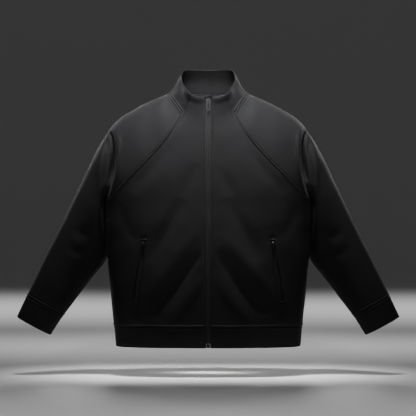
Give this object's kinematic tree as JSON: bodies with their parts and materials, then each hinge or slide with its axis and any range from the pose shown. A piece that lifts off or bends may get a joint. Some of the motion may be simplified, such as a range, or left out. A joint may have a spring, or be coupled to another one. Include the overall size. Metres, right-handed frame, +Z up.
{
  "type": "track jacket",
  "caption": "Black zip track jacket with raglan sleeves, stand-up collar and slanted zip pockets, filled out as worn",
  "frame": {"origin": "middle of the neck opening, level with the points where the shoulder lines meet the collar", "axes": "+X towards the wearer's left, -Y towards the front, +Z up"},
  "size_m": [1.014, 0.236, 0.7337],
  "materials": {
    "black_knit": "smooth double knit with a soft sheen",
    "black_tape": "matt woven tape",
    "black_coil": "satin nylon coil",
    "bright_metal": "satin nickel plate",
    "dark_metal": "black painted, satin"
  },
  "bodies": {
    "jacket": {"front_left": "black_knit", "front_right": "black_knit", "back": "black_knit", "sleeve_left": "black_knit", "sleeve_right": "black_knit", "cuff_left": "black_knit", "cuff_right": "black_knit", "hem_band": "black_knit", "collar": "black_knit", "neck_tape": "black_tape", "zip_tape_left": "black_tape", "zip_tape_right": "black_tape", "zip_chain": "black_coil", "zip_slider": "bright_metal", "zip_box": "bright_metal", "pocket_tape_left": "black_tape", "pocket_tape_right": "black_tape", "pocket_chain_left": "black_coil", "pocket_chain_right": "black_coil", "pocket_slider_left": "bright_metal", "pocket_slider_right": "bright_metal"},
    "main_pull": {"zip_pull": "bright_metal"},
    "left_pull": {"pocket_pull_left": "dark_metal"},
    "right_pull": {"pocket_pull_right": "dark_metal"}
  },
  "joints": [
    {"name": "main_pull_swing", "type": "hinge", "parent": "jacket", "child": "main_pull", "pos_m": [0, -0.07892, -0.02284], "axis": [-1, 0, 0], "range_deg": [0, 150]},
    {"name": "left_pull_swing", "type": "hinge", "parent": "jacket", "child": "left_pull", "pos_m": [0.16915, -0.10262, -0.39851], "axis": [-0.9573, -0.2806, -0.0697], "range_deg": [0, 150]},
    {"name": "right_pull_swing", "type": "hinge", "parent": "jacket", "child": "right_pull", "pos_m": [-0.16915, -0.10262, -0.39851], "axis": [-0.9573, 0.2806, 0.0697], "range_deg": [0, 150]}
  ]
}
